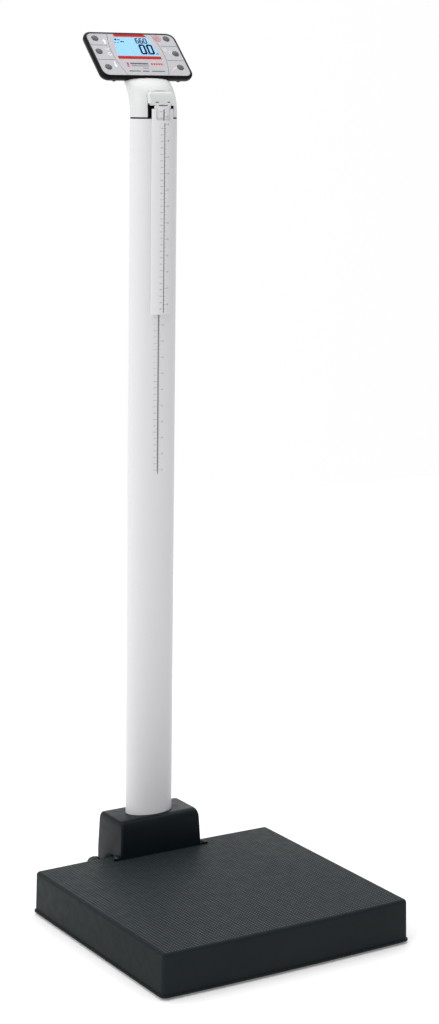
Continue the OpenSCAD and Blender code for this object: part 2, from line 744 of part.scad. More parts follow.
function face_ring(hx, hy, r, z) = lift(outline(hx, -hy, hy, r), z);
function rim_rings(z_low, z_edge, r, steps = 3) = [for (i = [0:steps])
    let (t = 90 * i / steps, k = 1 - cos(t)) face_ring(ind_w / 2 - r * k, ind_h / 2 - r * k,
        ind_r - r * k * 0.7, z_low + (z_edge - z_low) * sin(t))];
function shell_inside(more = 0) = outline(ind_w / 2 - ind_wall - 1 - more,
    -ind_h / 2 + ind_wall + 1 + more, ind_h / 2 - ind_wall - 1 - more, ind_r - 3 - more);
function window_side(n = 6) = [for (i = [0:n]) let (t = i / n)
    [window_low.x + (window_top.x - window_low.x) * t + 3 * t * (1 - t),
        window_low.y + (window_top.y - window_low.y) * t]];
function window_outline() = let (right = window_side()) concat(right,
    [for (i = [len(right) - 1:-1:0]) [-right[i].x, right[i].y]]);

module window_cut(grow, z0, z1) {
    k = 1 + grow / window_low.x;
    translate([0, 0, z0]) linear_extrude(z1 - z0) scale(k) polygon(window_outline());
}

module indicator_back() {
    color("#1a1c1e") on_face() difference() {
        union() {
            difference() {
                loft(concat(shell_rings(0), [shell_ring(0, -ind_split, 0)]));
                translate([0, 0, -ind_d + ind_wall]) linear_extrude(ind_d) polygon(shell_inside(2));
            }
            for (p = shell_screws) rod_z(p.x, p.y, -ind_d + 1, -ind_split, 8);
        }
        for (p = shell_screws) rod_z(p.x, p.y, -ind_d - 1, 0, 3);
        for (p = neck_screw_places) rod_z(p.x, p.y, -ind_d - 1, -ind_d + ind_wall + 1, 4);
        rod_z(cable_face.x, cable_face.y, -ind_d - 1, -ind_d + ind_wall + 1, cable_hole_d);
    }
}

module indicator_front() {
    color("#1a1c1e") on_face() difference() {
        union() {
            difference() {
                loft(concat([face_ring(ind_w / 2, ind_h / 2, ind_r, -ind_split)], rim_rings(-2.4, 0.6, 3)));
                translate([0, 0, -plate_out]) linear_extrude(5) polygon(
                    outline(ind_w / 2 - rim_w, -ind_h / 2 + rim_w, ind_h / 2 - rim_w, ind_r - 3));
                translate([0, 0, -ind_split - 1]) linear_extrude(ind_split + 1 - plate_in)
                    polygon(shell_inside());
            }
            for (p = shell_screws) rod_z(p.x, p.y, -ind_split, -plate_in + 0.4, 7);
        }
        window_cut(-1, -plate_in - 1, 0);
        for (p = key_places) rod_z(p.x, p.y, -ind_split, 0, key_d + 2 * key_play);
        for (p = shell_screws) rod_z(p.x, p.y, -ind_split - 1, -plate_in + 0.1, 2.4);
    }
}

module overlay() {
    color("#b4b7bb") on_face() difference() {
        translate([0, 0, -plate_out]) linear_extrude(overlay_t) polygon(
            outline(ind_w / 2 - rim_w - 0.1, -ind_h / 2 + rim_w + 0.1, ind_h / 2 - rim_w - 0.1, ind_r - 3.1));
        window_cut(0, -1, 1);
        for (p = key_places) rod_z(p.x, p.y, -1, 1, key_d + 2 * key_play);
    }
}

module lcd_window() {
    color("#9fd6ef", 0.6) on_face() union() {
        window_cut(-0.05, -plate_out, -overlay_drop);
        window_cut(-1.1, -plate_in, -plate_out + 0.1);
    }
}

module lcd_module() {
    color("#7fc8ea") on_face() box([-45, -8, -plate_in - 4.8], [45, 41, -plate_in - 0.05]);
}

module main_board() {
    color("#2c6e49") on_face() difference() {
        union() {
            box([-74, -38, -board_out - 1.6], [74, 42, -board_out]);
            for (p = key_places)
                box([p.x - 3, p.y - 3, -board_out - 0.5], [p.x + 3, p.y + 3, -board_out + 1.2]);
            box([-36, -30, -board_out - 0.5], [-14, -14, -board_out + 3]);
            box([18, -28, -board_out - 0.5], [30, -16, -board_out + 2]);
            box([-5, -26, -board_out - 0.5], [5, -12, -board_out + 3.4]);
        }
        for (p = shell_screws) rod_z(p.x, p.y, -board_out - 3, 0, 8.4);
    }
}

module indicator_screws() {
    color("#9da1a4") on_face() for (p = [[-70, -20], [70, -20], [-70, 22], [70, 22]]) {
        rod_z(p.x, p.y, -ind_d + ind_wall, -board_out - 1.6, 5);
    }
}

module key(i) {
    p = key_places[i];
    color("#4a4d51") on_face() translate([p.x, p.y, 0]) union() {
        rod_z(0, 0, -plate_in - key_flange - 0.2, 0.4, key_d);
        rod_z(0, 0, -board_out + 1.5 + key_travel, -plate_in - 0.5, 4);
        translate([0, 0, 0.4]) cylinder(h = 0.3, d1 = key_d, d2 = key_d - 1, $fn = 48);
    }
}

module housing_screws() {
    color("#9da1a4") on_face() for (p = shell_screws) {
        rod_z(p.x, p.y, -ind_d - 0.2, -ind_split, 3);
        rod_z(p.x, p.y, -ind_split - 0.2, -ind_split + 2, 2.4);
        translate([p.x, p.y, -ind_d - 1]) cylinder(h = 1, d = 5.6, $fn = 32);
    }
}

// ---- height rod ----

module rod_section() {
    polygon(concat(arc(rod_r, -rod_half + 2, rod_half - 2, 16),
        [[(rod_r - 0.6) * sin(rod_half - 0.6), -(rod_r - 0.6) * cos(rod_half - 0.6)],
            [(rod_r - 2.2) * sin(rod_half), -(rod_r - 2.2) * cos(rod_half)]],
        [for (i = [0:16]) let (a = rod_half * (1 - i / 8),
            r = oval_r(a, column_a + rod_gap, column_b + rod_gap)) [r * sin(a), -r * cos(a)]],
        [[-(rod_r - 2.2) * sin(rod_half), -(rod_r - 2.2) * cos(rod_half)],
            [-(rod_r - 0.6) * sin(rod_half - 0.6), -(rod_r - 0.6) * cos(rod_half - 0.6)]]));
}

module notch(w, low) {
    r = 4;
    translate([0, -rod_r - 3, 0]) rotate([-90, 0, 0]) linear_extrude(8) union() {
        translate([-w / 2, -rod_top - 5]) square([w, rod_top + 5 - low - r]);
        for (s = [-1, 1]) translate([s * (w / 2 - r), -low - r]) circle(r, $fn = 32);
        translate([-w / 2 + r, -low - r - 1]) square([w - 2 * r, r + 1]);
    }
}

module rod_outer() {
    color("#eef0f1") difference() {
        at_column() difference() {
            translate([0, 0, rod_low]) linear_extrude(rod_len) rod_section();
            translate([0, 0, pocket_low]) linear_extrude(rod_len)
                band(pocket_in, rod_r - rod_wall, pocket_half);
            intersection() {
                notch(notch_w, rod_top - notch_h);
                translate([0, 0, rod_top - 60]) linear_extrude(80)
                    band(rod_r - rod_wall - 0.5, rod_r + 3, 60);
            }
        }
        slider_room(0.3);
        at_column() for (x = [-4, 4])
            rod_y(slot_x + x, -rod_r + 2.5, -column_b, slider_low + slider_h / 2, 2);
    }
}

module slider_room(play) {
    at_column() box(
        [slot_x - slider_flange_w / 2 - play, -column_b - 0.6 - slider_flange_t, slider_low - play],
        [slot_x + slider_flange_w / 2 + play, -column_b + 3, slider_low + slider_h + play]);
}

// Tee guide that holds the outer rod to the slot in the column
module rod_slider() {
    front = -column_b - 0.6 - slider_flange_t;
    inside = -column_b + column_wall + 1.2;
    color("#8b9094") at_column() difference() {
        translate([slot_x, 0, slider_low]) union() {
            box([-slider_flange_w / 2, front, 0], [slider_flange_w / 2, front + slider_flange_t, slider_h]);
            box([-slot_w / 2 + slider_play, front, 0], [slot_w / 2 - slider_play, inside + 1, slider_h]);
            box([-slider_head_w / 2, inside, 0], [slider_head_w / 2, inside + slider_head_t, slider_h]);
        }
        for (x = [-4, 4]) rod_y(slot_x + x, front - 1, inside - 0.3, slider_low + slider_h / 2, 2);
    }
}

module slider_screws() {
    front = -column_b - 0.6 - slider_flange_t;
    color("#9da1a4") at_column() for (x = [-4, 4])
        rod_y(slot_x + x, -rod_r + 3, front + slider_flange_t, slider_low + slider_h / 2, 2);
}

module rod_middle() {
    low = pocket_low + 0.4;
    color("#e4e6e8") at_column() difference() {
        translate([0, 0, low]) linear_extrude(rod_top - 0.6 - low)
            band(pocket_in + rod_fit, rod_r - rod_wall - rod_fit, mid_half);
        translate([0, 0, low + 1.2]) linear_extrude(rod_len)
            band(pocket_in + rod_fit + mid_wall, rod_r - rod_wall - rod_fit - mid_wall, mid_pocket_half);
        intersection() {
            notch(notch_w + 0.6, rod_top - notch_h - 0.4);
            translate([0, 0, rod_top - 60]) linear_extrude(80)
                band(rod_r - rod_wall - rod_fit - mid_wall - 0.3, rod_r + 3, 60);
        }
    }
}

module rod_inner() {
    low = pocket_low + 2;
    face_r = rod_r - rod_wall - 2 * rod_fit - mid_wall;
    color("#eef0f1") at_column() difference() {
        union() {
            translate([0, 0, low]) linear_extrude(hinge_z - 3 - low)
                band(pocket_in + 2 * rod_fit + mid_wall, face_r, inner_half);
            both_sides() {
                box([ear_in, -face_r * cos(asin(ear_out / face_r)) + 0.1, rod_top + 0.6],
                    [ear_out, hinge_y + barrel_r, hinge_z - 3]);
                box([ear_in, hinge_y - barrel_r, hinge_z - 3.5], [ear_out, hinge_y + barrel_r, hinge_z]);
                rod_x(ear_in, ear_out, hinge_y, hinge_z, 2 * barrel_r);
            }
        }
        rod_x(-ear_out - 1, ear_out + 1, hinge_y, hinge_z, 2 * pin_r);
    }
}

// Folding headpiece: side outline in [y, z] about the hinge. Its front follows the neck's front
// and its back stands clear of the channel in the neck.
module headpiece() {
    back = channel_y - 0.9 - hinge_y;
    color("#eceef0") at_column() translate([0, hinge_y, hinge_z]) difference() {
        union() {
            rotate([90, 0, 90]) translate([0, 0, -head_w / 2]) linear_extrude(head_w) polygon([
                [-barrel_r, 0], [-barrel_r + 0.8, 5], [-barrel_r + 2.4, 10], [-barrel_r + 5, 15],
                [-barrel_r + 8, head_h - 0.6], [-barrel_r + 9.5, head_h], [back, head_h], [back, 1],
                [barrel_r + 0.5, 1], [barrel_r, 0]]);
            rod_x(-head_w / 2, head_w / 2, 0, 0, 2 * barrel_r);
        }
        rod_x(-head_w, head_w, 0, 0, 2 * (pin_r + pin_play));
        both_sides() {
            rod_x(ear_in - 0.3, ear_out + 0.3, 0, 0, 2 * ear_sweep);
            translate([head_w / 2, 8, head_h]) rotate([0, 45, 0]) cube([6, 40, 6], center = true);
        }
    }
}

module headpiece_pin() {
    color("#b9bcbf") at_column() rod_x(-head_w / 2 + 1, head_w / 2 - 1, hinge_y, hinge_z, 2 * pin_r);
}

// ---- signal cable, held inside from the summing board to the indicator ----

function face_point(up, out) = [face_y + up * sin(ind_tilt) - out * cos(ind_tilt),
    face_z + up * cos(ind_tilt) + out * sin(ind_tilt)];
cable_route = [[plat_y + 28, board_low - 4], [edge_y - 60, cable_z], [edge_y + 7, cable_z],
    [edge_y + 13, cable_z + 2], [edge_y + 17.5, cable_z + 8], [edge_y + 19, skirt_top],
    [edge_y + 19, 300], [edge_y + 19, 700], [edge_y + 19, column_top], [col_y + 4, neck_low + 12],
    [col_y + 9, neck_low + 26], [col_y + 17, neck_low + 38], face_point(-50, -ind_d - 9),
    face_point(-38, -ind_d - 7.5), face_point(-31, -ind_d - 6), face_point(-27.5, -ind_d - 3),
    face_point(-27, -ind_d + 0.5), face_point(-27, -board_out - 1.5)];

module signal_cable() { color("#3a3d40") cord(cable_route, cable_d); }

platform_cover();
platform_frame();
load_cell(-1, -1);  // load_cell_front_left
load_cell(1, -1);  // load_cell_front_right
load_cell(-1, 1);  // load_cell_rear_left
load_cell(1, 1);  // load_cell_rear_right
foot(-1, -1);  // foot_front_left
foot(1, -1);  // foot_front_right
foot(-1, 1);  // foot_rear_left
foot(1, 1);  // foot_rear_right
foot_studs();
cell_screws();
base_pan();
pan_screws();
summing_board();
cell_leads();
signal_cable();
column_bracket();
bracket_bolts();
base_cover();
cover_screws();
battery_holders();
batteries();
battery_contacts();
battery_door();
column();
column_screws();
neck();
neck_gasket();
neck_screws();
indicator_back();
indicator_front();
overlay();
lcd_module();
lcd_window();
main_board();
indicator_screws();
key(0);  // key_left_top
key(1);  // key_left_middle
key(2);  // key_left_bottom
key(3);  // key_right_top
key(4);  // key_right_middle
key(5);  // key_right_bottom
housing_screws();
rod_outer();
rod_slider();
slider_screws();
rod_middle();
rod_inner();
headpiece();
headpiece_pin();
wheel(-1);  // wheel_left
wheel(1);  // wheel_right
wheel_bracket();
wheel_axles();
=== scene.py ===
import json
import math

import bmesh
import bpy
from mathutils import Matrix, Vector


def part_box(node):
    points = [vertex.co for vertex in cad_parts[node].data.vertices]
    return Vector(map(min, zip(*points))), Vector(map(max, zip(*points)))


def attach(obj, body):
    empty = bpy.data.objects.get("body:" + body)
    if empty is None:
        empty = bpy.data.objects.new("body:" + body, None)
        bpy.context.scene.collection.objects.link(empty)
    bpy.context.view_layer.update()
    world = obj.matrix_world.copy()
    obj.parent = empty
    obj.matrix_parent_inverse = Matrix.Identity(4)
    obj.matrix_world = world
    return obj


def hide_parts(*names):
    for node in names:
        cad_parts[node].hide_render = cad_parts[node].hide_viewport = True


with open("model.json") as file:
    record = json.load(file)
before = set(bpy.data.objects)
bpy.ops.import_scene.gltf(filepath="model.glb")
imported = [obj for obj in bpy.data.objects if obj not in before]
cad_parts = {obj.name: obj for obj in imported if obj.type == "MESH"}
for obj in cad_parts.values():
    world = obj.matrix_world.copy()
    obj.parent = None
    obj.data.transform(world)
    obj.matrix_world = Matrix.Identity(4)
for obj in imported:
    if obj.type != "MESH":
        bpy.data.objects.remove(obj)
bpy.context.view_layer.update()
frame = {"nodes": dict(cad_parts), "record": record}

MM = 0.001

# ---- places and sizes read from the frame, in metres ----

column_low, column_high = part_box("column")
rod_low, rod_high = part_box("rod_outer")
inner_low, inner_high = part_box("rod_inner")
overlay_low, overlay_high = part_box("overlay")
platform_low, platform_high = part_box("platform_cover")

AXIS_Y = (column_low.y + column_high.y) / 2
COLUMN_A = (column_high.x - column_low.x) / 2
COLUMN_B = (column_high.y - column_low.y) / 2
ROD_R = AXIS_Y - rod_low.y
INNER_R = 31.0 * MM  # the inner rod's box also takes in its hinge ears, so its front is given here
TILT = math.radians(45)
FACE = (overlay_low + overlay_high) / 2
FACE_UP = Vector((0, math.sin(TILT), math.cos(TILT)))
FACE_OUT = Vector((0, -math.cos(TILT), math.sin(TILT)))
FACE_LIFT = 0.3 * MM
PRINT_LIFT = 0.06 * MM

# the column's and rod's rulers
COLUMN_RULER_LOW = 676 * MM
COLUMN_RULER_RISE = 240 * MM
STRIP_CLEAR_LOW, STRIP_CLEAR_HIGH = 3 * MM, 4 * MM
ROD_WINDOW_H = 17.6 * MM
ROD_TRAVEL_CM = 25
TICK_HALF = 0.14 * MM
NUMBER_CLEAR = 2 * MM
INCH_CM = 2.54

# edges eased and normals smoothed on the pieces made from CAD solids
CREASE = math.radians(34)
FLAT = math.radians(0.4)
WELD = 0.002 * MM
BEVEL_SEGMENTS = 2

# the platform's raised dots
DOT_PITCH = 5.0 * MM
DOT_HEIGHT = 0.45 * MM
DOT_INSET = 9 * MM


# ---- camera: the photograph's viewing angle ----

def make_camera():
    yaw, pitch, roll = math.radians(32.01), math.radians(5.45), math.radians(0.59)
    forward = Vector((math.sin(yaw) * math.cos(pitch), math.cos(yaw) * math.cos(pitch),
                      -math.sin(pitch)))
    right = Vector((math.cos(yaw), -math.sin(yaw), 0))
    up = right.cross(forward)
    right, up = (math.cos(roll) * right + math.sin(roll) * up,
                 math.cos(roll) * up - math.sin(roll) * right)
    platform_y = (platform_low.y + platform_high.y) / 2
    data = bpy.data.cameras.new("camera")
    data.sensor_width = 36
    data.lens = 79.11
    data.shift_y = -0.207
    camera = bpy.data.objects.new("camera", data)
    bpy.context.collection.objects.link(camera)
    place = Vector((-1.7714, -2.8185 + platform_y, 1.2802))
    turn = Matrix((right, up, -forward)).transposed().to_4x4()
    camera.matrix_world = Matrix.Translation(place) @ turn
    bpy.context.scene.camera = camera


# ---- materials ----

def nodes_of(name):
    made = bpy.data.materials.new(name)
    made.use_nodes = True
    tree = made.node_tree
    return made, tree, tree.nodes["Principled BSDF"]


def object_noise(tree, scale, detail=3.0, stretch=(1, 1, 1)):
    place = tree.nodes.new("ShaderNodeTexCoord")
    mapping = tree.nodes.new("ShaderNodeMapping")
    mapping.inputs["Scale"].default_value = stretch
    noise = tree.nodes.new("ShaderNodeTexNoise")
    noise.inputs["Scale"].default_value = scale
    noise.inputs["Detail"].default_value = detail
    tree.links.new(place.outputs["Object"], mapping.inputs["Vector"])
    tree.links.new(mapping.outputs["Vector"], noise.inputs["Vector"])
    return noise.outputs["Fac"]


def spread(tree, source, low, high):
    reach = tree.nodes.new("ShaderNodeMapRange")
    reach.inputs["From Min"].default_value = 0.3
    reach.inputs["From Max"].default_value = 0.7
    reach.inputs["To Min"].default_value = low
    reach.inputs["To Max"].default_value = high
    tree.links.new(source, reach.inputs["Value"])
    return reach.outputs["Result"]


def finish_material(name, color, rough, metal=0.0, mottle=0.05, mottle_scale=14,
                    rough_spread=0.05, grain_scale=900, grain_depth=0.02, coat=0.0,
                    stretch=(1, 1, 1), glow=0.0, specular=0.5):
    """A surface with slight colour drift, uneven gloss and a fine grain, all by nodes."""
    made, tree, shader = nodes_of(name)
    mix = tree.nodes.new("ShaderNodeMix")
    mix.data_type = "RGBA"
    mix.inputs["A"].default_value = (*[c * (1 - mottle) for c in color], 1)
    mix.inputs["B"].default_value = (*[min(1, c * (1 + mottle)) for c in color], 1)
    drift = spread(tree, object_noise(tree, mottle_scale, stretch=stretch), 0, 1)
    tree.links.new(drift, mix.inputs["Factor"])
    tree.links.new(mix.outputs["Result"], shader.inputs["Base Color"])
    gloss = spread(tree, object_noise(tree, mottle_scale * 5), rough - rough_spread,
                   rough + rough_spread)
    tree.links.new(gloss, shader.inputs["Roughness"])
    bump = tree.nodes.new("ShaderNodeBump")
    bump.inputs["Strength"].default_value = 0.5
    bump.inputs["Distance"].default_value = grain_depth * MM
    tree.links.new(object_noise(tree, grain_scale, 2.0, stretch), bump.inputs["Height"])
    tree.links.new(bump.outputs["Normal"], shader.inputs["Normal"])
    shader.inputs["Metallic"].default_value = metal
    shader.inputs["Coat Weight"].default_value = coat
    shader.inputs["Coat Roughness"].default_value = 0.08
    shader.inputs["Specular IOR Level"].default_value = specular
    if glow:
        tree.links.new(mix.outputs["Result"], shader.inputs["Emission Color"])
        shader.inputs["Emission Strength"].default_value = glow
    return made


def math_node(tree, kind, a, b=None):
    node = tree.nodes.new("ShaderNodeMath")
    node.operation = kind
    for socket, value in zip(node.inputs, (a, b)):
        if isinstance(value, (int, float)):
            socket.default_value = value
        elif value is not None:
            tree.links.new(value, socket)
    return node.outputs["Value"]


def platform_material():
    """Moulded mat: a close grid of small raised dots on the flat top, a fine grain elsewhere; the dots'
    colour is painted lighter as a painted highlight.
    """
    made = finish_material("platform_dots", (0.0085, 0.0125, 0.0140), 0.50, grain_depth=0.03,
                           specular=0.10)
    tree = made.node_tree
    shader = tree.nodes["Principled BSDF"]
    place = tree.nodes.new("ShaderNodeTexCoord")
    split = tree.nodes.new("ShaderNodeSeparateXYZ")
    tree.links.new(place.outputs["Object"], split.inputs["Vector"])
    turns = 2 * math.pi / DOT_PITCH
    wave_x = math_node(tree, "COSINE", math_node(tree, "MULTIPLY", split.outputs["X"], turns))
    wave_y = math_node(tree, "COSINE", math_node(tree, "MULTIPLY", split.outputs["Y"], turns))
    dots = tree.nodes.new("ShaderNodeMapRange")
    dots.interpolation_type = "SMOOTHSTEP"
    dots.inputs["From Min"].default_value = 0.55
    dots.inputs["From Max"].default_value = 1.25
    tree.links.new(math_node(tree, "ADD", wave_x, wave_y), dots.inputs["Value"])
    on_top = math_node(tree, "GREATER_THAN", split.outputs["Z"], platform_high.z - 0.2 * MM)
    off_x = math_node(tree, "ABSOLUTE", split.outputs["X"])
    in_x = math_node(tree, "LESS_THAN", off_x, platform_high.x - DOT_INSET)
    middle = (platform_low.y + platform_high.y) / 2
    off_y = math_node(tree, "ABSOLUTE", math_node(tree, "SUBTRACT", split.outputs["Y"], middle))
    in_y = math_node(tree, "LESS_THAN", off_y, (platform_high.y - platform_low.y) / 2 - DOT_INSET)
    area = math_node(tree, "MULTIPLY", math_node(tree, "MULTIPLY", on_top, in_x), in_y)
    height = math_node(tree, "MULTIPLY", dots.outputs["Result"], area)
    raised = tree.nodes.new("ShaderNodeBump")
    raised.inputs["Strength"].default_value = 1.0
    raised.inputs["Distance"].default_value = DOT_HEIGHT
    grain = shader.inputs["Normal"].links[0].from_socket
    tree.links.new(height, raised.inputs["Height"])
    tree.links.new(grain, raised.inputs["Normal"])
    tree.links.new(raised.outputs["Normal"], shader.inputs["Normal"])
    # painted highlight: the raised dots' colour is painted lighter where they would catch the light
    dot_painted_highlight = tree.nodes.new("ShaderNodeMix")
    dot_painted_highlight.data_type = "RGBA"
    base = shader.inputs["Base Color"].links[0].from_socket
    tree.links.new(height, dot_painted_highlight.inputs["Factor"])
    tree.links.new(base, dot_painted_highlight.inputs["A"])
    dot_painted_highlight.inputs["B"].default_value = (0.062, 0.078, 0.085, 1)
    tree.links.new(dot_painted_highlight.outputs["Result"], shader.inputs["Base Color"])
    return made


def make_materials():
    white = {"mottle": 0.004, "rough_spread": 0.01, "grain_scale": 2400, "grain_depth": 0.002}
    ink = {"specular": 0.15, "mottle": 0.15, "mottle_scale": 300}
    red = {"specular": 0.15, "mottle": 0.06, "mottle_scale": 120}
    rows = {
        "black_plastic": ((0.0020, 0.0052, 0.0072), 0.34, {"specular": 0.13}),
        "shell_black": ((0.003, 0.003, 0.0035), 0.24, {"grain_depth": 0.01, "specular": 0.10}),
        "grey_steel": ((0.30, 0.32, 0.34), 0.45, {"metal": 0.3, "grain_depth": 0.04}),
        "black_steel": ((0.006, 0.007, 0.008), 0.42, {"grain_scale": 1400, "grain_depth": 0.05}),
        "white_paint": ((0.685, 0.685, 0.702), 0.36, white),
        "white_plastic": ((0.650, 0.654, 0.658), 0.40, white),
        "cell_metal": ((0.66, 0.68, 0.70), 0.32, {"metal": 1.0, "stretch": (1, 12, 12)}),
        "screw_steel": ((0.56, 0.57, 0.60), 0.28, {"metal": 1.0}),
        "foot_rubber": ((0.004, 0.004, 0.0045), 0.80,
                        {"specular": 0.2, "mottle": 0.15, "grain_depth": 0.08}),
        "wheel_plastic": ((0.008, 0.009, 0.010), 0.50,
                          {"mottle": 0.12, "grain_depth": 0.05, "specular": 0.3}),
        "board_green": ((0.02, 0.16, 0.07), 0.40, {"mottle": 0.2, "mottle_scale": 160}),
        "cord_grey": ((0.04, 0.04, 0.045), 0.60, {"grain_depth": 0.05}),
        "cell_jacket": ((0.05, 0.12, 0.26), 0.28, {"coat": 0.4}),
        "contact_brass": ((0.60, 0.45, 0.20), 0.30, {"metal": 1.0}),
        "overlay_film": ((0.46, 0.46, 0.485), 0.46, {"mottle": 0.02, "grain_scale": 2400}),
        "display_blue": ((0.20, 0.52, 0.80), 0.30, {"mottle": 0.03, "glow": 0.08}),
        "display_clear": ((0.19, 0.51, 0.80), 0.20, {"mottle": 0.02, "glow": 0.08, "coat": 0.2}),
        "key_grey": ((0.075, 0.078, 0.085), 0.55, {"mottle": 0.10, "grain_depth": 0.05}),
        "ink_black": ((0.004, 0.004, 0.005), 0.60, {**ink, "mottle": 0.20}),
        "ink_grey": ((0.13, 0.13, 0.14), 0.60, ink),
        "ink_pale": ((0.24, 0.25, 0.26), 0.60, ink),
        "ink_red": ((0.46, 0.004, 0.006), 0.50, red),
        "ink_rose": ((0.60, 0.05, 0.06), 0.50, red),
        "ink_white": ((0.82, 0.82, 0.84), 0.40, {"mottle": 0.03, "mottle_scale": 120}),
        "ink_navy": ((0.002, 0.006, 0.030), 0.60,
                     {"specular": 0.1, "mottle": 0.10, "mottle_scale": 200}),
    }
    made = {"black_cover": platform_material()}
    for name, (color, rough, extra) in rows.items():
        made[name] = finish_material(name, color, rough, **extra)
    return made


# ---- pieces made from the CAD solids, with rounded edges and smooth shading ----

def body_name(node):
    return next(b for b, names in frame["record"]["behaviour"]["bodies"].items() if node in names)


def slot_name(node):
    return next(s["material_slot"] for s in frame["record"]["subparts"] if s["node"] == node)


def rounded_piece(node, material, edge):
    """A piece that stands for a CAD node: flat faces joined up, edges eased, curved faces smooth."""
    mesh = bpy.data.meshes.new(node + "_look")
    shape = bmesh.new()
    shape.from_mesh(frame["nodes"][node].data)
    bmesh.ops.remove_doubles(shape, verts=shape.verts, dist=WELD)
    bmesh.ops.dissolve_limit(shape, angle_limit=FLAT, verts=shape.verts, edges=shape.edges)
    for face in shape.faces:
        face.smooth = True
    for line in shape.edges:
        line.smooth = len(line.link_faces) == 2 and line.calc_face_angle(0) < CREASE
    shape.to_mesh(mesh)
    shape.free()
    piece = bpy.data.objects.new(node + "_look", mesh)
    bpy.context.collection.objects.link(piece)
    mesh.materials.append(material)
    if edge:
        bevel = piece.modifiers.new("eased_edges", "BEVEL")
        bevel.width = edge * MM
        bevel.segments = BEVEL_SEGMENTS
        bevel.limit_method = "ANGLE"
        bevel.angle_limit = CREASE
        bevel.harden_normals = True
    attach(piece, body_name(node))
    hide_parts(node)


def dress(materials):
    eased = {
        "platform_cover": 0.0, "base_cover": 0.0, "column": 0.3, "neck": 0.0, "neck_gasket": 0.2,
        "rod_outer": 0.25, "rod_middle": 0.1, "rod_inner": 0.15, "headpiece": 0.4, "indicator_back": 0.0,
        "indicator_front": 0.15, "overlay": 0.0, "lcd_window": 0.0, "battery_door": 0.5,
        "wheel_left": 0.3, "wheel_right": 0.3, "wheel_bracket": 0.5, "column_bracket": 0.5,
        "wheel_axles": 0.4, "base_pan": 0.2, "foot_front_left": 0.3, "foot_front_right": 0.3,
        "foot_rear_left": 0.3, "foot_rear_right": 0.3,
    }
    eased.update({node: 0.3 for node in frame["nodes"] if node.startswith("key_")})
    # these pieces look different from their slot's usual finish
    special = {"indicator_back": "shell_black", "indicator_front": "shell_black",
               "cover_screws": "black_steel", "lcd_module": "display_blue"}
    for node, thing in frame["nodes"].items():
        material = materials[special.get(node, slot_name(node))]
        if node in eased:
            rounded_piece(node, material, eased[node])
        else:
            thing.data.materials.clear()
            thing.data.materials.append(material)


# ---- printing: flat outlines laid onto a curved or tilted surface ----

def on_rod(radius):
    r = radius + PRINT_LIFT

    def place(u, z):
        return Vector((r * math.sin(u / radius), AXIS_Y - r * math.cos(u / radius), z))
    return place


def on_column(u, z):
    a, b = COLUMN_A + PRINT_LIFT, COLUMN_B + PRINT_LIFT
    return Vector((u, AXIS_Y - b * math.sqrt(1 - (u / a) ** 2), z))


def on_face(u, v):
    return FACE + FACE_UP * v + FACE_OUT * (FACE_LIFT + PRINT_LIFT) + Vector((u, 0, 0))


def bar(u0, u1, v0, v1):
    return [(u0, v0), (u1, v0), (u1, v1), (u0, v1)]


def stroke(points, width):
    """A line of even width along points, as quads."""
    quads = []
    for (u0, v0), (u1, v1) in zip(points, points[1:]):
        run = math.hypot(u1 - u0, v1 - v0)
        du, dv = -(v1 - v0) / run * width / 2, (u1 - u0) / run * width / 2
        quads.append([(u0 - du, v0 - dv), (u1 - du, v1 - dv), (u1 + du, v1 + dv),
                      (u0 + du, v0 + dv)])
    return quads


def round_line(cu, cv, r, start, stop, width, steps=20):
    angles = [math.radians(start + (stop - start) * i / steps) for i in range(steps + 1)]
    return stroke([(cu + r * math.cos(t), cv + r * math.sin(t)) for t in angles], width)


def digits(words, size, u, v, align="LEFT"):
    """Outlines of plain numerals."""
    curve = bpy.data.curves.new("numeral", "FONT")
    curve.body = words
    curve.size = size
    curve.resolution_u = 2
    curve.align_x = align
    curve.align_y = "CENTER"
    holder = bpy.data.objects.new("numeral", curve)
    mesh = bpy.data.meshes.new_from_object(holder)
    shapes = [[(u + mesh.vertices[i].co.x, v + mesh.vertices[i].co.y) for i in p.vertices]
              for p in mesh.polygons]
    bpy.data.objects.remove(holder)
    bpy.data.curves.remove(curve)
    bpy.data.meshes.remove(mesh)
    return shapes


def print_on(name, shapes, place, material, body):
    mesh = bpy.data.meshes.new(name)
    ink = bmesh.new()
    for shape in shapes:
        ink.faces.new([ink.verts.new(place(u, v)) for u, v in shape])
    bmesh.ops.remove_doubles(ink, verts=ink.verts, dist=0.001 * MM)
    bmesh.ops.recalc_face_normals(ink, faces=ink.faces)
    ink.normal_update()
    for face in ink.faces:
        if face.normal.y > 0:
            face.normal_flip()
    ink.to_mesh(mesh)
    ink.free()
    piece = bpy.data.objects.new(name, mesh)
    bpy.context.collection.objects.link(piece)
    mesh.materials.append(material)
    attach(piece, body)


